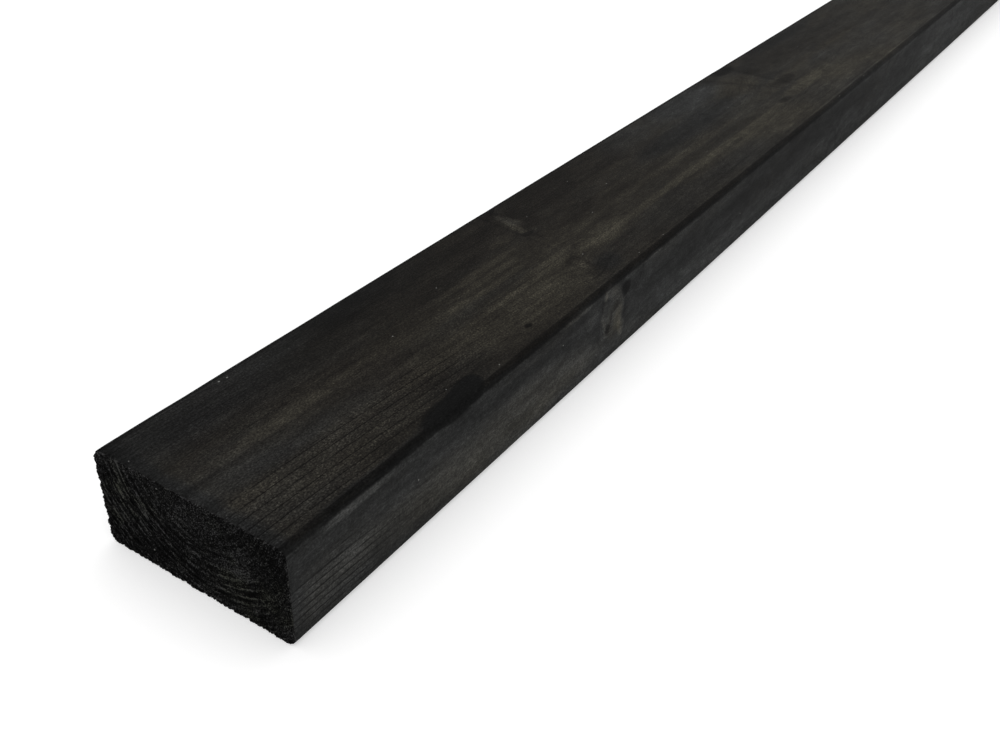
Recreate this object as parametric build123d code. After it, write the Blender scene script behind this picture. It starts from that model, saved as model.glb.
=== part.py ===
from build123d import *
import os

# A planed timber stud: one piece of softwood, lying on its wide face.
# X runs along the stud, Y across its wide face and Z up through its thickness.
# The origin is at the middle of the face it lies on.

# Driving dimensions, in millimetres
stud_length = 2400
stud_width = 95
stud_thickness = 45
arris_radius = 4


def section(width, thickness, radius):
    """The planed section, with its lower face on the ground line and its four arrises rounded."""
    outline = RectangleRounded(width, thickness, radius)
    return Pos(0, thickness / 2) * outline


def stud(length, width, thickness, radius):
    """The section run through the planer, then cut square by the saw at both ends."""
    profile = Plane.YZ * section(width, thickness, radius)
    return extrude(profile, amount=length / 2, both=True)


def save(piece, name):
    """Writes one piece to its own file."""
    piece.label = name
    export_step(piece, f"parts/{name}.step")


os.makedirs("parts", exist_ok=True)
save(stud(stud_length, stud_width, stud_thickness, arris_radius), "stud")
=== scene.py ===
import math
import random
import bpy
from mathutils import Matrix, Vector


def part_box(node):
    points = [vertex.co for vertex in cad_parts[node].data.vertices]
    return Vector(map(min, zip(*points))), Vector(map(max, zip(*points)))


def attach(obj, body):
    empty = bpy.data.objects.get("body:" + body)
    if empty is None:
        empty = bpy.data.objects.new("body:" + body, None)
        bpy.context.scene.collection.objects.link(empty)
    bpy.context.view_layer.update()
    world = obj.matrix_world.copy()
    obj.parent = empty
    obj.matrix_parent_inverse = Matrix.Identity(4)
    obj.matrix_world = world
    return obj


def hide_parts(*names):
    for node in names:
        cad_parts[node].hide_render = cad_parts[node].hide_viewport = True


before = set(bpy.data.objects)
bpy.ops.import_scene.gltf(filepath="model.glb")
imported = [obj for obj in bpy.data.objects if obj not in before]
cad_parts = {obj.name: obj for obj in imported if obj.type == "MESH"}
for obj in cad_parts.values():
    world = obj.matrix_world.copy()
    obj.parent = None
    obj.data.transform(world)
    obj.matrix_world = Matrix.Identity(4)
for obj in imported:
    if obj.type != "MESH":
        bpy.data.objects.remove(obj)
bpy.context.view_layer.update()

from types import SimpleNamespace

import bpy
from mathutils import Quaternion, Vector

# The stud: one length of pine, sawn from the log close to its pith, planed on four sides with its
# arrises rounded, cut square at both ends and impregnated black. Its sizes are in millimetres, and
# a place on it is counted from the near end, from the middle of its width and from its underside.
MM = 1000.0
low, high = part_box("stud")
length, width, thickness = (MM * (b - a) for a, b in zip(low, high))
arris_radius = 4


class Field:
    """A value that changes from place to place in the timber: a node's socket, ready to reckon with."""

    def __init__(self, tree, socket):
        self.tree = tree
        self.socket = socket

    def math(self, operation, *others):
        feeds = dict(enumerate((self,) + others))
        return add(self.tree, "ShaderNodeMath", feeds, operation=operation)

    def vector(self, operation, *others, out="Vector"):
        feeds = dict(enumerate((self,) + others))
        return add(self.tree, "ShaderNodeVectorMath", feeds, out, operation=operation)

    def __add__(self, other):
        return self.math("ADD", other)

    def __sub__(self, other):
        return self.math("SUBTRACT", other)

    def __mul__(self, other):
        return self.math("MULTIPLY", other)

    def __truediv__(self, other):
        return self.math("DIVIDE", other)

    def __neg__(self):
        return self.math("MULTIPLY", -1.0)

    def __rsub__(self, other):
        return (-self) + other

    __radd__ = __add__
    __rmul__ = __mul__

    def parts(self):
        split = add(self.tree, "ShaderNodeSeparateXYZ", {0: self})
        return [Field(self.tree, socket) for socket in split.socket.node.outputs]

    def rise(self, start, end, low=0.0, high=1.0):
        """Goes smoothly from low to high while the value goes from start to end."""
        feeds = {"Value": self, "From Min": start, "From Max": end, "To Min": low, "To Max": high}
        return add(self.tree, "ShaderNodeMapRange", feeds, interpolation_type="SMOOTHSTEP")

    def bell(self):
        """1 where the value is 0, and almost nothing past 2 or below -2."""
        return (-(self * self)).math("EXPONENT")

    def power_of(self, base):
        return add(self.tree, "ShaderNodeMath", {0: base, 1: self}, operation="POWER")

    def scaled(self, amount):
        """A colour or a place, times one amount."""
        return add(self.tree, "ShaderNodeVectorMath", {0: self, "Scale": amount}, operation="SCALE")

    def noise(self, size, stretch=1.0, detail=2.0, roughness=0.5, seed=0.0):
        """Lumps from -1 to 1 about size across, and stretch times as long."""
        step = (1 / (size * stretch), 1 / size, 1 / size)
        where = self.vector("MULTIPLY", step).vector("ADD", (seed, 1.7 * seed, -seed))
        feeds = {"Vector": where, "Scale": 1.0, "Detail": detail, "Roughness": roughness}
        return add(self.tree, "ShaderNodeTexNoise", feeds) * 2.0 - 1.0


def add(tree, kind, feeds=None, out=0, **settings):
    """Adds a node, sets it, feeds its inputs with fields or plain values, and gives one output back."""
    node = tree.nodes.new(kind)
    for name, value in settings.items():
        setattr(node, name, value)
    for key, value in (feeds or {}).items():
        if isinstance(value, Field):
            tree.links.new(value.socket, node.inputs[key])
        else:
            node.inputs[key].default_value = value
    return Field(tree, node.outputs[out] if node.outputs else None)


def join(tree, x, y, z):
    return add(tree, "ShaderNodeCombineXYZ", {0: x, 1: y, 2: z})


def rise(value, start, end, low, high):
    """The same smooth rise for a plain number or a field."""
    if isinstance(value, Field):
        return value.rise(start, end, low, high)
    share = min(max((value - start) / (end - start), 0.0), 1.0)
    return low + (high - low) * share * share * (3 - 2 * share)


# The pith, the middle of the tree: it lies just above the top face at the near end, runs at the
# surface past the first two whorls, and is in the middle of the stud further on.
def pith(x):
    across = rise(x, 0, 240, -6.6, -18.0) + rise(x, 850, 1500, 0.0, 14.0) + rise(x, 1600, 2300, 0.0, -9.0)
    up = rise(x, 0, 240, 50.5, 44.5) + rise(x, 800, 1600, 0.0, -15.0) + rise(x, 1700, 2400, 0.0, 9.0)
    return across, up


# The knots: branches that start at the pith, in whorls a year's growth apart. Those of the first two
# whorls lie where they show. The later whorls follow the same habit, in places drawn by chance.
def branch(at, turn, lean=0.0, core=2.0, spread=0.08, pale=0.0):
    """One branch: turn counts round the pith from the left edge up over the top face, in degrees, and
    lean is how far it goes along the stud for each step outwards. Its radius is core at the pith, and
    grows by spread for each millimetre outwards. It is pale stops paler than the wood round it."""
    out = Vector((lean, math.cos(math.radians(turn)), math.sin(math.radians(turn)))).normalized()
    return SimpleNamespace(start=(at, *pith(at)), out=tuple(out), girth=(core, spread, pale))


whorls = [
    [
        branch(238, 1, 0.18, core=1.2, spread=0.055, pale=0.05),
        branch(234, 207, -0.22, core=3.0, spread=0.26, pale=0.16),
        branch(243, 285, 0.05, core=2.0, spread=0.12),
        branch(246, 335, 0.10, core=2.0, spread=0.10),
    ],
    [
        branch(556, 2, -0.25, core=3.5, spread=0.20, pale=0.06),
        branch(521, 88, 0.0, core=2.6, spread=0.05, pale=-0.35),
        branch(548, 232, 0.1, core=2.5, spread=0.12, pale=0.1),
        branch(540, 300, 0.1, core=2.5, spread=0.12, pale=0.1),
    ],
]
habit = random.Random(12)
for at in (905, 1240, 1560, 1890, 2205):
    first = habit.uniform(0, 360)
    whorls.append([
        branch(
            at + habit.uniform(-14, 14),
            first + 90 * k + habit.uniform(-22, 22),
            habit.uniform(-0.05, 0.30),
            core=habit.uniform(1.5, 3.2),
            spread=habit.uniform(0.08, 0.17),
            pale=habit.uniform(-0.15, 0.25),
        )
        for k in range(4)
    ])


def at_whorl(x, values):
    """The value that belongs to the whorl nearest to x."""
    places = [sum(b.start[0] for b in whorl) / len(whorl) for whorl in whorls]
    chosen = values[0]
    for value, before, after in zip(values[1:], places, places[1:]):
        past = x.math("GREATER_THAN", (before + after) / 2)
        chosen = add(x.tree, "ShaderNodeMix", {0: past, 4: chosen, 5: value}, 1, data_type="VECTOR")
    return chosen


def one_knot(tree, given):
    """A branch as the wood shows it: the knot itself, its dark rim, and the grain that flows round it."""
    away = given["Place"].vector("SUBTRACT", given["Start"])
    along = away.vector("DOT_PRODUCT", given["Out"], out="Value")
    reach = away.vector("LENGTH", out="Value")
    off = (reach * reach - along * along).math("MAXIMUM", 0.0).math("SQRT")
    core, spread, pale = given["Girth"].parts()
    size = along.math("MAXIMUM", 0.0) * spread + core
    ratio = off / size * given["Uneven"]
    outward = along.rise(-1.0, 2.0)
    inside = ratio.rise(1.10, 0.90) * outward
    return {
        "Inside": inside,
        "Rim": ((ratio - 1.0) * 3.4).bell() * outward,
        "Flow": (ratio * 0.42).bell() * size * outward,
        "Pale": inside * pale,
        "Off": off,
    }


def growth(tree, given):
    """How the tree grew at a place: its rings, its fibres and its knots. Age counts the rings, which are
    wide at first and narrow from the eighth year on, and Wide is how wide they are."""
    place = given["Place"]
    x, y, z = place.parts()
    pith_y, pith_z = pith(x)
    across = y - pith_y
    up = z - pith_z
    radius = (across * across + up * up).math("SQRT")
    uneven = place.noise(7, seed=17) * 0.22 + 1.0
    total = None
    for k in range(4):
        feeds = {
            "Place": place,
            "Uneven": uneven,
            "Start": at_whorl(x, [whorl[k].start for whorl in whorls]),
            "Out": at_whorl(x, [whorl[k].out for whorl in whorls]),
            "Girth": at_whorl(x, [whorl[k].girth for whorl in whorls]),
        }
        found = use(tree, knot_groups, feeds)
        total = found if total is None else {
            name: total[name] + found[name] if name in ("Flow", "Pale") else
            total[name].math("MINIMUM" if name == "Off" else "MAXIMUM", found[name])
            for name in found
        }
    wander = (
        place.noise(38, stretch=9, detail=1.0) * 1.1
        + place.noise(11, stretch=14, detail=1.0, seed=5) * 0.35
    )
    grown_radius = (radius + wander - total["Flow"] * 0.9).math("MAXIMUM", 0.2)
    wide_ring, narrow_ring, eighth_year = 4.72, 2.05, 37.5
    outer = (grown_radius - eighth_year).math("SMOOTH_MAX", 0.0, 4.0)
    keep = grown_radius / radius.math("MAXIMUM", 0.5)
    return {
        "X": x, "Y": y, "Z": z,
        "Age": grown_radius / wide_ring + outer * (1 / narrow_ring - 1 / wide_ring),
        "Fibre": join(tree, x, across * keep, up * keep),
        "Wide": grown_radius.rise(eighth_year - 3.5, eighth_year + 3.5, wide_ring, narrow_ring),
        "Knot": total["Inside"], "Rim": total["Rim"], "Pale": total["Pale"], "Off": total["Off"],
    }


def groups(name, inlets, recipe):
    """The same node group twice, for the finish and for the shape."""
    return {kind: group(kind + "NodeTree", name, inlets, recipe) for kind in ("Shader", "Geometry")}


def group(kind, name, inlets, recipe):
    """A node group whose outlets are what the recipe makes of its inlets."""
    tree = bpy.data.node_groups.new(name, kind)
    for inlet, form in inlets.items():
        tree.interface.new_socket(inlet, in_out="INPUT", socket_type="NodeSocket" + form)
    entry = tree.nodes.new("NodeGroupInput")
    outlets = recipe(tree, {socket.name: Field(tree, socket) for socket in entry.outputs if socket.name})
    leave = tree.nodes.new("NodeGroupOutput")
    forms = {"VALUE": "Float", "VECTOR": "Vector", "GEOMETRY": "Geometry"}
    for outlet, field in outlets.items():
        form = "NodeSocket" + forms[field.socket.type]
        tree.interface.new_socket(outlet, in_out="OUTPUT", socket_type=form)
        tree.links.new(field.socket, leave.inputs[outlet])
    return tree


def use(tree, pair, feeds):
    """Adds the node group to a tree, and gives its outlets by name."""
    kind = tree.bl_idname.removesuffix("NodeTree")
    node = add(tree, kind + "NodeGroup", feeds, node_tree=pair[kind]).socket.node
    return {socket.name: Field(tree, socket) for socket in node.outputs}


knot_inlets = {
    "Place": "Vector", "Uneven": "Float", "Start": "Vector", "Out": "Vector", "Girth": "Vector",
}
knot_groups = groups("one knot", knot_inlets, one_knot)
growth_groups = groups("growth", {"Place": "Vector"}, growth)


def grown(tree, position):
    """The place that a position in metres is, and how the tree grew there."""
    place = position.scaled(MM).vector("ADD", (length / 2, 0, 0))
    found = use(tree, growth_groups, {"Place": place})
    return SimpleNamespace(place=place, **{name.lower(): field for name, field in found.items()})


def in_end(wood):
    """1 on the sawn ends and 0 on the planed faces, and the distance to the nearer end."""
    half = length / 2
    from_end = half - (wood.x - half).math("ABSOLUTE")
    return from_end.rise(1.1, 0.5), from_end


def over_arris(wood):
    """How far a place lies past the flat of the wide face and of the narrow one."""
    over_y = wood.y.math("ABSOLUTE") - (width / 2 - arris_radius)
    over_z = (wood.z - thickness / 2).math("ABSOLUTE") - (thickness / 2 - arris_radius)
    return over_y, over_z


def one_mark(tree, given):
    """A patch with the given amount at its middle, about half as much where its reach ends, and none
    from a third further out."""
    away = given["Place"].vector("MULTIPLY_ADD", given["Scale"], given["Shift"])
    share = away.vector("DOT_PRODUCT", away, out="Value").rise(1.85, 0.05)
    return {"Amount": given["Amount"].scaled(share).vector("ADD", given["So Far"])}


mark_inlets = {name: "Vector" for name in ("Place", "Scale", "Shift", "Amount", "So Far")}
mark_groups = groups("one mark", mark_inlets, one_mark)


def marked(place, marks):
    """The sum of several marks at a place."""
    total = (0.0, 0.0, 0.0)
    for middle, reach, amount in marks:
        scale = [1 / r for r in reach]
        shift = [-m / r for m, r in zip(middle, reach)]
        feeds = {"Place": place, "Scale": scale, "Shift": shift, "Amount": amount, "So Far": total}
        total = use(place.tree, mark_groups, feeds)["Amount"]
    return total.parts()


# Its finish: black impregnation that has sunk in unevenly, so that streaks of early wood, the knots and
# whole patches stay paler, browner or greyer. Two marks are painted light instead: a painted highlight
# just under the right arris near the near end, and a pale strip that weakens the painted arris shade
# along the right arris further on. Each mark has its middle and its reach along, across and
# up, and then how many stops paler it is, how much browner, and how much crisper its year rings are.
TOP, SIDE = thickness, -width / 2
top_tones = [
    ((66, 36, TOP), (120, 17, 8), (-0.62, -0.8, 0.12)),
    ((205, 36, TOP), (110, 16, 8), (-0.86, -0.1, 0)),
    ((330, 33, TOP), (65, 15, 8), (-0.70, 0.3, 0)),
    ((180, 28, TOP), (90, 14, 8), (-0.1, 0.55, 0)),
    ((250, -4, TOP), (180, 60, 12), (-0.03, 0.5, 0)),
    ((36, -29, TOP), (50, 14, 6), (0.16, 0.15, 1.0)),
    ((80, -24, TOP), (46, 9, 6), (0.05, 0.1, 0.5)),
    ((104, -28, TOP), (34, 14, 6), (-0.24, 0.1, 0.6)),
    ((195, -26, TOP), (46, 16, 6), (0.35, 0.9, 0.15)),
    ((20, 31, TOP), (34, 15, 6), (0.0, 0.0, 0.3)),
    ((60, -41, TOP), (28, 6.5, 4), (-0.42, 0.0, 0)),
    ((190, 4, TOP), (75, 9, 5), (-0.15, 0.7, 0)),
    ((250, 16, TOP), (18, 9, 4), (-0.28, 0.0, 0)),
    ((278, 18, TOP), (30, 9, 5), (-0.45, 0.3, 0)),
    ((300, 3, TOP), (40, 8, 5), (-0.35, 0.3, 0)),
    ((350, 8, TOP), (110, 8, 4), (-0.30, 0.0, 0)),
    ((340, -33, TOP), (90, 9, 4), (-0.36, -0.3, 0)),
    ((390, 34.0, TOP), (26, 12, 6), (0.15, -0.6, 0)),
    ((430, 12.0, TOP), (60, 9, 6), (-0.25, -1.0, 0)),
    ((470, 33.0, TOP), (50, 14, 6), (0.50, -1.1, 0)),
    ((470, -30, TOP), (60, 12, 5), (0.25, 0.3, 0)),
    ((500, -5, TOP), (34, 7, 4), (0.32, 0.0, 0)),
    ((530, 20.0, TOP), (28, 13, 5), (0.35, 0.9, 0)),
    ((545, -28, TOP), (90, 16, 6), (0.25, 0.3, 0)),
    ((548, -1, TOP), (60, 6, 5), (0.35, 0.5, 0)),
    # Painted light: a paler strip along the right arris, which weakens its painted shade here.
    ((600, -45.5, TOP), (150, 3, 4), (0.85, 0.0, 0)),
    ((650, 26, TOP), (90, 18, 6), (-0.62, 0.4, 0)),
    ((650, 4, TOP), (90, 4, 6), (0.20, 0.5, 0)),
    ((665, -26, TOP), (105, 18, 6), (0.38, 0.3, 0)),
    ((665, 41, TOP), (70, 8, 5), (-0.45, -1.0, 0)),
    ((740, -42, TOP), (60, 9, 6), (0.40, 0.0, 0)),
]
top_streaks = [
    ((8, 19, TOP), (13, 5, 4), (0.30, 0.0, 0)),
    ((12, -25, TOP), (18, 6, 4), (0.35, 0.0, 0.2)),
    ((30, 43, TOP), (35, 5, 6), (0.35, 0.0, 0)),
    ((33, -7, TOP), (45, 6, 5), (0.05, -0.3, 0)),
    ((42, -18, TOP), (45, 4.6, 4), (0.42, 0.2, 0.2)),
    ((56, 4.5, TOP), (62, 3.4, 4), (0.72, 0.3, 0)),
    ((90, -6.5, TOP), (35, 3.5, 4), (-0.60, 0.0, 0)),
    ((92, 6, TOP), (14, 5, 4), (-0.30, 0.0, 0)),
    ((100, 10, TOP), (50, 4, 4), (-0.60, 0.1, 0)),
    ((106, -31.0, TOP), (20, 3.5, 5), (-0.35, 0.0, 0)),
    ((112, -25, TOP), (15, 5, 4), (-0.32, 0.1, 0)),
    ((120, 17, TOP), (150, 5, 6), (-0.50, 0.0, 0)),
    ((124, -19.5, TOP), (34, 3.4, 4), (0.45, 0.2, 0)),
    ((125, -35.5, TOP), (11, 4, 4), (-0.30, 0.0, 0)),
    ((138, -26, TOP), (14, 4, 4), (0.25, 0.1, 0)),
    ((140, -39, TOP), (75, 5.0, 5), (-0.50, 0.2, 0)),
    ((162, -0.5, TOP), (10, 1.8, 4), (0.75, 0.3, 0)),
    ((180, -14.5, TOP), (55, 1.5, 4), (0.65, 1.2, 0)),
    ((192, 10.0, TOP), (30, 2.4, 4), (0.75, 0.5, 0)),
    ((192, -2.5, TOP), (24, 2.0, 4), (0.80, 0.4, 0)),
    ((198, 4.0, TOP), (28, 2.0, 4), (0.80, 0.4, 0)),
    ((225, -11.0, TOP), (24, 2.2, 4), (0.75, 0.4, 0)),
    ((228, 19.0, TOP), (10, 2.6, 4), (0.70, 0.9, 0)),
    ((238, -16.5, TOP), (22, 3.0, 4), (0.75, 0.4, 0)),
    ((240, -17, TOP), (20, 5, 4), (-0.50, 0.0, 0)),
    ((266, -4.0, TOP), (26, 2.2, 4), (0.50, 0.5, 0)),
    ((268, -17.5, TOP), (24, 7.0, 4), (0.75, 0.6, 0)),
    ((289, 14.5, TOP), (8, 1.4, 4), (0.50, 0.8, 0)),
    ((312, 5.5, TOP), (22, 3.2, 4), (0.40, 0.8, 0)),
    ((320, 28.6, TOP), (5, 2.4, 4), (0.60, 0.1, 0)),
    ((347, 20.5, TOP), (15, 2.0, 4), (0.45, 0.4, 0)),
    ((380, -11.5, TOP), (110, 2.4, 4), (-0.35, 0.2, 0)),
    ((390, -18.8, TOP), (125, 2.6, 4), (0.82, 0.7, 0)),
    ((400, -4.5, TOP), (85, 2.4, 4), (0.55, 0.4, 0)),
    ((420, -23.5, TOP), (70, 3.5, 4), (0.25, 0.4, 0)),
    ((471, -38, TOP), (10, 2.2, 4), (0.45, 0.2, 0)),
    ((566, -15.5, TOP), (34, 5.0, 4), (0.65, 1.1, 0)),
]
spike_knot = [
    ((250.8, 30.0, TOP), (3.8, 7.8, 4), (1.60, -0.4, 0)),
    ((246.6, 21.0, TOP), (3.4, 5.5, 4), (1.20, 0.1, 0)),
    ((262, 27.0, TOP), (7, 9, 4), (-0.45, 0.3, 0)),
    ((247, 39.5, TOP), (7, 2.2, 4), (-0.6, 0.2, 0)),
    ((245, 13.6, TOP), (4.2, 2.0, 3), (-1.5, 0, 0)),
    ((251, 45.2, TOP), (5.5, 4.0, 5), (-3.2, -0.4, 0)),
]
dark_patch = [
    ((60, -44.0, TOP), (50, 1.8, 5), (-0.30, -0.6, -0.4)),
    ((98.5, -43.2, TOP), (17, 4.7, 4.4), (-3.4, -2.0, -1.0)),
    ((114, -41.2, TOP), (9.5, 5.2, 5.0), (-3.4, -2.0, -1.0)),
    ((119.5, -39.0, TOP), (4.5, 3.2, 7), (-3.4, -2.0, -1.0)),
]
top_dark_spots = [
    ((166.4, -34.9, TOP), (1.7, 1.05, 2), (-3.4, 0, 0)),
    ((233, -18.5, TOP), (5, 1.6, 3), (-1.0, 0, 0)),
    ((242, -34, TOP), (10, 6.0, 4), (-0.75, -0.8, 0)),
    ((522, -18.3, TOP), (9, 2.3, 4), (-1.5, 0.3, 0)),
    ((553, 40.8, TOP), (14, 4.8, 5), (-2.4, -0.2, 0)),
    ((563, -1.5, TOP), (15, 4.4, 4), (-1.4, 0.2, 0)),
    ((567, 24, TOP), (8, 4.5, 4), (-0.75, 0.2, 0)),
]
side_tones = [
    ((24, SIDE, 16), (24, 4, 13), (0.60, 0.0, 0.75)),
    # Painted highlight: a pale band just under the right arris.
    ((34, SIDE, 41.2), (17, 4, 1.8), (1.15, 0.2, 0)),
    ((60, SIDE, 34), (34, 4, 8), (0.20, 0.0, 0)),
    ((98, SIDE, 38), (20, 4, 5), (-0.30, 0.0, 0)),
    ((125, SIDE, 17), (85, 4, 14), (0.60, 0.85, 0)),
    ((150, SIDE, 37), (60, 4, 7), (-0.35, 0.0, 0)),
    ((160, SIDE, 39.0), (26, 4, 1.6), (0.35, 0.2, 0)),
    ((190, SIDE, 35.0), (22, 4, 1.5), (0.35, 0.2, 0)),
    ((190, SIDE, 11), (50, 4, 9), (0.40, 0.2, 0)),
    ((192, SIDE, 42.6), (12, 4, 1.4), (1.10, 0.4, 0)),
    ((208, SIDE, 7), (14, 4, 4.5), (0.35, 0.0, 0)),
    ((250, SIDE, 37), (12, 4, 5), (-0.45, 0.0, 0)),
    ((250, SIDE, 13), (12, 4, 5), (0.32, 0.0, 0)),
    ((330, SIDE, 10), (90, 4, 7), (0.52, 0.1, 0)),
    ((340, SIDE, 29), (90, 4, 9), (-0.55, 0.0, 0)),
    ((500, SIDE, 35), (130, 4, 11), (-0.80, 0.0, 0)),
    ((690, SIDE, 32), (100, 4, 14), (-0.22, 0.0, 0)),
    ((860, SIDE, 22), (90, 4, 30), (0.32, 0.0, 0)),
]
side_knot = [
    ((206, SIDE, 34), (4.5, 4, 6.5), (0.35, 0.2, 0)),
    ((217.0, SIDE, 35), (2.0, 4, 8), (0.75, 0.6, 0)),
    ((219.0, SIDE, 24), (1.6, 4, 7), (0.55, 0.5, 0)),
    ((222, SIDE, 41), (7.0, 4, 3.2), (1.25, 0.5, 0)),
    ((228, SIDE, 27), (8.5, 4, 13), (0.36, 0.8, 0)),
    ((233.5, SIDE, 22.5), (5.4, 4, 7.5), (0.75, 0.7, 0)),
    ((237.0, SIDE, 16.5), (3.8, 4, 6), (1.15, 0.7, 0)),
    ((227.5, SIDE, 31), (2.2, 4, 2.4), (-1.0, 0.4, 0)),
    ((222.3, SIDE, 20.5), (2.4, 4, 3.2), (-1.6, 0.2, 0)),
    ((225.0, SIDE, 26.0), (1.3, 4, 3.0), (-0.9, 0.2, 0)),
    ((235.8, SIDE, 36.6), (4.6, 4, 3.8), (-3.0, -0.8, 0)),
]
marks = top_tones + top_streaks + spike_knot + dark_patch + top_dark_spots + side_tones + side_knot

# On the near end's sawn face the last number is how much clearer the saw's strokes show instead.
end_marks = [
    ((0, 45, 42.5), (5, 3.5, 3), (1.3, 0, -0.6)),
    ((0, 41, 22), (5, 7, 12), (0.4, 0.4, 0.6)),
    ((0, 34, 36), (5, 5, 9), (1.2, 0.4, 0.7)),
    ((0, 32, 44), (5, 10, 3), (0.6, 0, 0)),
    ((0, 30, 9), (5, 14, 8), (-0.6, 0, 0.3)),
    ((0, 27, 25), (5, 5, 8), (0.9, 0.6, 0.9)),
    ((0, 14, 20), (5, 9, 9), (-0.6, 0, 0.2)),
    ((0, 5, 34), (5, 6, 8), (0.9, 0, -0.4)),
    ((0, -2, 4), (5, 12, 4), (0.6, 0, 0)),
    ((0, -8, 39), (5, 7, 8), (0.4, 0, -1.0)),
    ((0, -20, 14), (5, 15, 6), (0.8, 0.6, 0.35)),
    ((0, -21, 21), (5, 7, 7), (0.8, 0.2, 0)),
    ((0, -24, 26), (5, 6, 8), (1.1, 0, -0.6)),
    ((0, -24, 5), (5, 9, 5), (0.6, 0.2, 0)),
    ((0, -40, 18), (5, 9, 12), (0.2, 0.5, -0.6)),
    ((0, -40, 33), (5, 9, 11), (-0.7, 0, -0.4)),
    ((0, -45, 4), (5, 3, 5), (1.0, 0, -0.4)),
]

# Grains of pale dust: the first of the last three numbers is how plainly each shows.
specks = [
    ((57.5, 41.5, TOP), (0.5, 0.35, 2), (1, 0, 0)),
    ((61.5, 41.0, TOP), (0.5, 0.30, 2), (1, 0, 0)),
    ((3.0, 30.5, TOP), (0.25, 0.25, 2), (0.8, 0, 0)),
    ((0, 22.0, 8.5), (2, 0.35, 0.35), (0.9, 0, 0)),
    ((0, 16.5, 2.2), (2, 0.3, 0.3), (0.7, 0, 0)),
    ((0, 14.0, 42.0), (2, 0.3, 0.3), (0.8, 0, 0)),
]


def sawn_grain(place):
    """The sawn ends' texture, from -1 to 1: the year rings, which are narrower the further they lie from
    their middle, the saw's long arcs and short strokes along them, and the crumbs that it left."""
    x, y, z = place.parts()
    pith_y, pith_z = pith(x)
    right_of_pith, above_pith = 0.8, 4.7
    across = y - pith_y + right_of_pith
    up = z - pith_z - above_pith
    radius = (across * across + up * up).math("SQRT")
    around = up.math("ARCTAN2", across) * radius

    widest, narrowing, first_ring = 5.245, 0.0421, 0.2
    count = (1.0 - radius * (narrowing / widest)).math("LOGARITHM", math.e) / -narrowing - first_ring
    rings = (count * (2 * math.pi) + place.noise(9, seed=28) * 0.4).math("COSINE")

    arc_length, arc_width = 22, 1.1
    stroke_length, stroke_width = 3.5, 0.7
    on_arc = join(place.tree, around / arc_length, radius / arc_width, x * 0.3)
    on_stroke = join(place.tree, around / stroke_length, radius / stroke_width, x * 0.3)
    full = radius.rise(12, 34, 0.4, 1.0)
    arcs = on_arc.noise(1.0, roughness=0.6, seed=24) * full
    strokes = on_stroke.noise(1.0, roughness=0.65, seed=23) * full
    crumbs = place.noise(0.6, roughness=0.75, seed=21)
    return rings * radius.rise(18, 40, 0.2, 1.0), arcs, strokes, crumbs


def blend(share, start, end):
    """A colour that goes from start to end as the share goes from 0 to 1."""
    return add(share.tree, "ShaderNodeMix", {0: share, 6: start, 7: end}, 2, data_type="RGBA")


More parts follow.
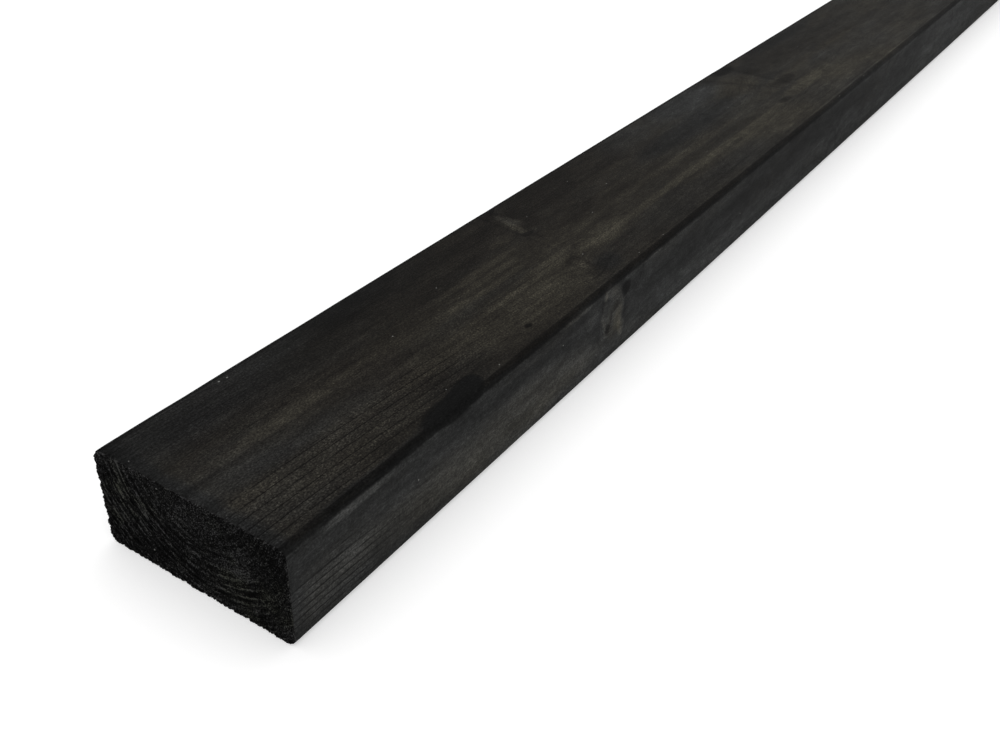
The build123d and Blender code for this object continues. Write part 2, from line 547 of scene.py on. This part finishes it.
def stain_with_painted_light(tree):
    """The finish of the planed faces and the sawn ends, on the rings and fibres that the shape has too,
    with a painted shade along the arrises and painted light on the narrow faces. Tones are counted in
    stops, paler or darker than the plain black of the face they are on."""
    planed_black, sawn_black = 0.0166, 0.0022
    wood = grown(tree, add(tree, "ShaderNodeTexCoord", out="Object"))
    place, fibre = wood.place, wood.fibre
    end, from_end = in_end(wood)

    # The marks, swayed a little, so that none has the outline of a plain oval.
    sway_along = place.noise(18, stretch=2, seed=51) * 9.0
    sway_across = place.noise(6, stretch=4, seed=52) * 1.6
    swayed = place.vector("ADD", join(tree, sway_along, sway_across, 0.0))
    stops, browner, crisper = marked(swayed, marks)

    # The dark line that ends each year's ring: broken here and there, and strong where they are crisp.
    year = wood.age.math("FRACT")
    from_line = year.math("MINIMUM", 1.0 - year) * wood.wide
    broken = place.noise(1.6, stretch=8, seed=7).rise(-0.45, 0.15, 0.1, 1.0)
    line = from_line.rise(0.32, 0.05) * (1.0 - wood.knot) * broken
    late = year.math("POWER", 2.5)
    crisp = crisper + place.noise(24, stretch=5, seed=9).rise(-0.3, 0.5, 0.0, 0.3)
    crisp = crisp.math("MINIMUM", 1.0).math("MAXIMUM", 0.0)

    # Streaks that follow the fibres round the knots, and a sandy speckle that lies over them.
    streak = (
        fibre.noise(9, stretch=8) * 0.85
        + fibre.noise(2.2, stretch=9, detail=3.0, seed=3) * 0.45
        + fibre.noise(0.6, stretch=10, roughness=0.6, seed=6) * 0.6
        + place.noise(6, stretch=2.5, detail=4.0, roughness=0.6, seed=8) * 1.0
        + place.noise(2.6, stretch=1.3, detail=3.0, roughness=0.6, seed=10) * 0.75
    )
    speckle = place.noise(0.75, stretch=1.4, detail=3.0, roughness=0.75, seed=13)

    # The planed faces: a painted shade along the arrises, darker at the ends, and a painted reflection
    # that makes the narrow faces paler and greyer.
    over_y, over_z = over_arris(wood)
    # Painted shade: a dark band, 1.8 stops darker, along the arrises.
    arris = over_z.rise(1.4, 2.4) * over_y.rise(-0.5, 0.5)
    # Painted reflection: the narrow faces are 0.35 stops paler, and less brown below, so greyer.
    narrow = over_y.rise(1.5, 3.0)
    near_end = from_end.rise(9.0, 1.0) * (1.0 - narrow * 0.7)
    sandy = (crisp * 1.4 + 3.4) * (1.0 - narrow * 0.4)
    knot_rings = (wood.off * 4.2).math("SINE") * wood.knot * 0.25
    darkest, palest = -2.3, 2.5
    face_tone = (
        (stops - arris * 1.8).math("MAXIMUM", darkest)
        + streak + speckle * sandy + wood.pale + knot_rings + narrow * 0.35
        - line * crisp * 2.7 - late * (crisp * 0.3 + 0.12)
        - wood.rim * (1.0 - wood.knot * 0.7) * 0.6 - near_end * 0.6
    )
    # Painted reflection: the narrow faces less brown, so greyer; the ends less brown too.
    browner = browner + place.noise(26, stretch=3, seed=15) * 1.2 - narrow * 1.1 - near_end * 1.5
    grey, dark_brown, straw = (0.98, 1.0, 0.99, 1), (1.16, 1.0, 0.81, 1), (1.10, 1.0, 0.75, 1)
    warm = blend(face_tone.rise(-0.8, 1.0), dark_brown, straw)
    tint = blend(browner.rise(-1.3, 1.1), grey, warm)
    face = tint.scaled(face_tone.math("MINIMUM", palest).power_of(2.0) * planed_black)

    # The sawn ends: crumbs everywhere, with the rings, arcs and strokes clear in some places only.
    end_stops, end_brown, clearer = marked(place, end_marks)
    rings, arcs, strokes, crumbs = sawn_grain(place)
    clear = (clearer + place.noise(8, seed=26).rise(-0.5, 0.5, 0.4, 1.2)).math("MAXIMUM", 0.05)
    to_rim = (over_y.math("MAXIMUM", over_z) - arris_radius).rise(-1.0, -0.3)
    palest_crumb = 4.6
    end_tone = (
        end_stops * 1.2
        + rings * (clear * 1.3 + 0.3) + arcs * (clear * 6.0) + strokes * (clear * 5.0 + 2.5)
        + crumbs * (18.0 - clear * 5.0) + place.noise(7, seed=22) * 2.0 + to_rim * (crumbs * 4.0 + 0.7)
    )
    plain, yellowish = (1, 1, 1, 1), (1.0, 1.04, 0.80, 1)
    end_tint = blend((end_brown + place.noise(9, seed=25)).rise(-0.2, 1.2), plain, yellowish)
    sawn = end_tint.scaled(end_tone.math("MINIMUM", palest_crumb).power_of(2.0) * sawn_black)

    # Grains of pale dust: a few scattered over the whole stud, and those that were seen on it.
    grain_spacing, share_bare = 9.0, 0.72
    grit = add(tree, "ShaderNodeTexVoronoi", {"Vector": place, "Scale": 1 / grain_spacing}, feature="F1")
    drawn = Field(tree, grit.socket.node.outputs["Color"]).parts()[0]
    grains = grit.rise(0.045, 0.025) * drawn.math("GREATER_THAN", share_bare)
    dust = grains.math("MAXIMUM", marked(place, specks)[0])
    dust_grey = (0.22, 0.22, 0.21, 1)
    colour = blend(dust * 0.8, blend(end, face, sawn), dust_grey)

    # The nap of the planed faces and the roughness of the sawn ends, too fine for the mesh.
    hairs = place.noise(0.5, stretch=12, roughness=0.65, seed=31)
    face_height = hairs * 0.08 + speckle * 0.06
    end_height = arcs * 0.2 + strokes * 0.35 + crumbs * 0.35
    height = face_height + (end_height - face_height) * end
    bump = add(tree, "ShaderNodeBump", {"Strength": 1.0, "Distance": 1 / MM, "Height": height})
    planed_roughness, sawn_roughness = 0.68, 0.9
    shader = add(tree, "ShaderNodeBsdfPrincipled", {
        "Base Color": colour, "Roughness": end.rise(0.0, 1.0, planed_roughness, sawn_roughness),
        "Normal": bump, "Specular IOR Level": 0.04,
    })
    add(tree, "ShaderNodeOutputMaterial", {"Surface": shader})


# The material: the black finish, with its painted shade along the arrises and painted light on the narrow
# faces.
black_stain = bpy.data.materials.new("black_stained_pine")
black_stain.use_nodes = True
black_stain.node_tree.nodes.clear()
stain_with_painted_light(black_stain.node_tree)


# Its shape: the planed section, in columns a millimetre apart, run from end to end, and closed by the
# sawn ends, in columns half as far apart. The relief only cuts into the planed size.
def open_box(tree, given, sign):
    """A length of the section with open ends: the middle for a sign of 0, the near end with its sawn
    face for -1 and the far end for 1."""
    fine = 2 if sign else 1
    span = given["End Band"] if sign else given["Length"] - given["End Band"] * 2.0
    box = add(tree, "GeometryNodeMeshCube", {
        "Size": join(tree, span, given["Width"], given["Thickness"]),
        "Vertices X": given["End Rows"] if sign else given["Rows"],
        "Vertices Y": given["Columns Across"] * fine + 1.0,
        "Vertices Z": given["Columns Up"] * fine + 1.0,
    })
    facing = add(tree, "GeometryNodeInputNormal").parts()[0]
    inner = facing * -sign if sign else facing.math("ABSOLUTE")
    return span, add(tree, "GeometryNodeDeleteGeometry", {
        "Geometry": box, "Selection": inner.math("GREATER_THAN", 0.5),
    }, domain="FACE")


def end_piece(tree, given, sign):
    """An end whose inner rim is drawn together in pairs, to meet the wider columns of the middle."""
    span, opened = open_box(tree, given, sign)
    wide, thick = given["Width"], given["Thickness"]
    half = join(tree, 0.0, wide / 2.0, thick / 2.0)
    pitch = join(tree, 1.0, wide / given["Columns Across"], thick / given["Columns Up"])
    here = add(tree, "GeometryNodeInputPosition")
    shifted = here.vector("ADD", half).vector("ADD", pitch.vector("MULTIPLY", (0.0, 0.25, 0.25)))
    _, y, z = shifted.vector("SNAP", pitch).vector("SUBTRACT", half).parts()
    x = here.parts()[0]
    sewn = add(tree, "GeometryNodeSetPosition", {
        "Geometry": opened, "Selection": (x * -sign).math("GREATER_THAN", span * 0.499),
        "Position": join(tree, x, y, z),
    })
    shift = join(tree, (given["Length"] - span) * (0.5 * sign), 0.0, 0.0)
    return add(tree, "GeometryNodeSetPosition", {"Geometry": sewn, "Offset": shift})


def gathered(x):
    """Moves the rows of the mesh towards each whorl, where the surface has most to show."""
    hold, reach = 0.72, 55.0
    for whorl in whorls:
        off = (x - sum(b.start[0] for b in whorl) / len(whorl)) / reach
        x = x - off * off.bell() * (hold * reach)
    return x


def rounded(y, z, given):
    """Brings the square corners of the section in to its rounded arrises."""
    cores, overs = [], []
    for value, size in ((y, given["Width"]), (z, given["Thickness"])):
        flat = size / 2.0 - given["Arris Radius"]
        cores.append(value.math("MINIMUM", flat).math("MAXIMUM", -flat))
        overs.append(value - cores[-1])
    furthest = overs[0].math("ABSOLUTE").math("MAXIMUM", overs[1].math("ABSOLUTE"))
    share = furthest / (overs[0] * overs[0] + overs[1] * overs[1]).math("SQRT")
    return [core + over * share for core, over in zip(cores, overs)]


def relief(tree):
    """How far the surface lies inside the planed size, in millimetres."""
    wood = grown(tree, add(tree, "GeometryNodeInputPosition"))
    place = wood.place
    end, from_end = in_end(wood)

    # The planed faces: early wood a little lower than late wood, and arrises worn near the ends.
    late = wood.age.math("FRACT").math("POWER", 2.5)
    wide_rings = wood.wide.rise(2.5, 4.5)
    planed = 0.03 + (1.0 - late) * wide_rings * 0.05 + wood.rim * 0.12 + place.noise(60, stretch=3) * 0.03
    over_y, over_z = over_arris(wood)
    arris = over_y.rise(0.0, 2.0) * over_z.rise(0.0, 2.0)
    wear = place.noise(14, stretch=3, detail=3.0, seed=41).rise(-0.2, 0.8)
    worn = arris * wear * (from_end.rise(70, 0) * 0.6 + 0.12)

    # The sawn ends: torn, with a rim that is most ragged at the left edge and the underside.
    rings, arcs, strokes, crumbs = sawn_grain(place)
    sawn = 0.40 - rings * 0.08 + arcs * 0.30 + strokes * 0.35 + crumbs * 0.30
    leaving = (wood.y.rise(20.0, 46.0) + wood.z.rise(10.0, 1.0)).math("MINIMUM", 1.0)
    ragged = place.noise(2.0, detail=3.0, roughness=0.65, seed=27).rise(-0.10, 0.42)
    broken = from_end.rise(3.0, 0.0) * ragged * (leaving * 0.75 + 0.15)
    depth = planed * (1.0 - end) + sawn * end + worn + broken
    return depth.math("MAXIMUM", 0.0)


def unrolled(tree, given):
    """A flat map of the stud: its four faces side by side, cut into three lengths that lie one above
    another, and the two ends beside them. It shows every part of the stud at the same fine scale."""
    by_face = {"data_type": "FLOAT_VECTOR", "domain": "FACE"}
    position = add(tree, "GeometryNodeInputPosition")
    facing = add(tree, "GeometryNodeFieldOnDomain", {0: add(tree, "GeometryNodeInputNormal")}, **by_face)
    middle = add(tree, "GeometryNodeFieldOnDomain", {0: position}, **by_face)
    to_far_end, to_left, to_top = facing.parts()
    x, y, z = position.parts()
    wide, thick = given["Width"], given["Thickness"]
    third = given["Length"] / 3.0
    strip = (middle.parts()[0] / third + 1.5).math("FLOOR")
    margin = 0.007
    faces = [
        (-to_top, wide * 0.5 - y), (-to_left, wide + thick * 0.5 + z),
        (to_top, wide * 1.5 + thick + y), (to_left, wide * 2.0 + thick * 1.5 - z),
    ]
    row = x + third * (1.5 - strip) + margin
    column = strip * ((wide + thick) * 2.0 + margin * 0.5) + margin * 0.5
    for turned, place in faces:
        column = column + turned.math("GREATER_THAN", 0.5) * place
    on_end = to_far_end.math("ABSOLUTE").math("GREATER_THAN", 0.5)
    far_end = to_far_end.math("GREATER_THAN", 0.5)
    end_row = third + thick * 0.5 + z + margin * 2.5
    end_column = far_end * (wide + margin) + (1.0 - far_end * 2.0) * y + wide * 0.5 + margin
    size = third + thick + margin * 2.5
    row = row + (end_row - row) * on_end
    column = column + (end_column - column) * on_end
    return join(tree, row / size, column / size, 0.0)


def planed_stud(tree, given):
    """The whole stud: three lengths joined, mapped flat, brought to the rounded section and cut."""
    joined = tree.nodes.new("GeometryNodeJoinGeometry")
    lengths = [open_box(tree, given, 0)[1]] + [end_piece(tree, given, sign) for sign in (-1.0, 1.0)]
    for piece in lengths:
        tree.links.new(piece.socket, joined.inputs[0])
    whole = add(tree, "GeometryNodeMergeByDistance", {
        "Geometry": Field(tree, joined.outputs[0]), "Distance": 1e-5,
    })
    x, y, z = add(tree, "GeometryNodeInputPosition").parts()
    along = (gathered(x * MM + length / 2) - length / 2) / MM
    spaced = add(tree, "GeometryNodeSetPosition", {
        "Geometry": whole, "Position": join(tree, along, y, z),
    })
    mapped = add(tree, "GeometryNodeStoreNamedAttribute", {
        "Geometry": spaced, "Name": "OFBake", "Value": unrolled(tree, given),
    }, data_type="FLOAT2", domain="CORNER")
    round_y, round_z = rounded(y, z, given)
    lying = join(tree, x, round_y, round_z + given["Thickness"] / 2.0)
    shaped = add(tree, "GeometryNodeSetPosition", {"Geometry": mapped, "Position": lying})
    inward = add(tree, "GeometryNodeInputNormal").scaled(relief(tree) / -MM)
    cut = add(tree, "GeometryNodeSetPosition", {"Geometry": shaped, "Offset": inward})
    gentle = add(tree, "GeometryNodeInputMeshEdgeAngle").math("LESS_THAN", math.radians(50))
    smooth = add(tree, "GeometryNodeSetShadeSmooth", {
        "Geometry": cut, "Shade Smooth": gentle,
    }, domain="EDGE")
    real = add(tree, "GeometryNodeRealizeInstances", {"Geometry": smooth})
    return {"Stud": add(tree, "GeometryNodeSetMaterial", {"Geometry": real, "Material": given["Finish"]})}


asked = {
    "Length": ("Float", length / MM),
    "Width": ("Float", width / MM),
    "Thickness": ("Float", thickness / MM),
    "Arris Radius": ("Float", arris_radius / MM),
    "End Band": ("Float", 0.006),
    "Rows": ("Int", 190),
    "End Rows": ("Int", 8),
    "Columns Across": ("Int", 95),
    "Columns Up": ("Int", 45),
    "Finish": ("Material", black_stain),
}
making = bpy.data.objects.new("stud_making", bpy.data.meshes.new("stud_making"))
bpy.context.scene.collection.objects.link(making)
forms = {name: form for name, (form, _) in asked.items()}
shape = group("GeometryNodeTree", "planed stud", forms, planed_stud)
modifier = making.modifiers.new("planed stud", "NODES")
modifier.node_group = shape
for item in shape.interface.items_tree:
    if item.in_out == "INPUT":
        modifier[item.identifier] = asked[item.name][1]
made = making.evaluated_get(bpy.context.evaluated_depsgraph_get())
stud = bpy.data.objects.new("planed_stud", bpy.data.meshes.new_from_object(made))
making.modifiers.remove(modifier)
bpy.data.objects.remove(making)
bpy.context.scene.collection.objects.link(stud)
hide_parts("stud")
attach(stud, "root")

# The view: the camera stands to the right of the near end and a little above it, and looks down
# along the stud, with a focal length of 1061.6 pixels in a picture 1000 pixels wide. The stud lies
# on a pale floor, under plain soft light from above.
eye = Vector((-1.3763, -0.2382, 0.2879))
looks_at = Vector((-1.0732, -0.0472, 0.0450))
roll = math.radians(2.34)
half_width, focal_length = 500, 1061.6
view_angle = 2 * math.atan(half_width / focal_length)

camera = bpy.data.objects.new("camera", bpy.data.cameras.new("camera"))
camera.data.angle = view_angle
camera.data.clip_start = 0.01
camera.location = eye
camera.rotation_mode = "QUATERNION"
level = (looks_at - eye).to_track_quat("-Z", "Y")
camera.rotation_quaternion = level @ Quaternion((0, 0, 1), roll)
bpy.context.scene.collection.objects.link(camera)
bpy.context.scene.camera = camera


def floor():
    """A wide pale floor that glows a little, for the camera only, so that it shows as white."""
    half = 8.0
    mesh = bpy.data.meshes.new("floor")
    corners = [(-half, -half, 0), (half, -half, 0), (half, half, 0), (-half, half, 0)]
    mesh.from_pydata(corners, [], [(0, 1, 2, 3)])
    material = bpy.data.materials.new("pale_floor")
    material.use_nodes = True
    tree = material.node_tree
    tree.nodes.clear()
    seen = add(tree, "ShaderNodeLightPath", out="Is Camera Ray")
    paint = add(tree, "ShaderNodeBsdfDiffuse", {"Color": (0.8, 0.8, 0.8, 1)})
    glow = add(tree, "ShaderNodeEmission", {"Strength": seen * 0.38})
    surface = add(tree, "ShaderNodeAddShader", {0: paint, 1: glow})
    add(tree, "ShaderNodeOutputMaterial", {"Surface": surface})
    mesh.materials.append(material)
    ground = bpy.data.objects.new("floor", mesh)
    bpy.context.scene.collection.objects.link(ground)


def soft_light(name, place, aim, size, strength):
    """A square softbox, its strength being the light it gives off for each square metre."""
    data = bpy.data.lights.new(name, "AREA")
    data.shape = "SQUARE"
    data.size = size
    data.energy = strength * size * size
    lamp = bpy.data.objects.new(name, data)
    lamp.location = place
    lamp.rotation_mode = "QUATERNION"
    lamp.rotation_quaternion = (Vector(aim) - Vector(place)).to_track_quat("-Z", "Y")
    bpy.context.scene.collection.objects.link(lamp)


floor()
soft_light("overhead", place=(-0.4, 0.6, 2.6), aim=(-0.6, 0, 0), size=2.4, strength=2.4)
soft_light("right side", place=(-1.45, -1.3, 0.45), aim=(-1.1, 0, 0), size=0.8, strength=5.0)

# The sky: it shows as white, and lights the stud a little less than that.
world = bpy.data.worlds.new("studio")
world.use_nodes = True
sky = world.node_tree
sky.nodes.clear()
seen = add(sky, "ShaderNodeLightPath", out="Is Camera Ray")
strength = add(sky, "ShaderNodeMix", {0: seen, 2: 0.80, 3: 1.0}, data_type="FLOAT")
light = add(sky, "ShaderNodeBackground", {"Color": (1, 1, 1, 1), "Strength": strength})
add(sky, "ShaderNodeOutputWorld", {"Surface": light})
bpy.context.scene.world = world
bpy.context.scene.view_settings.view_transform = "Standard"
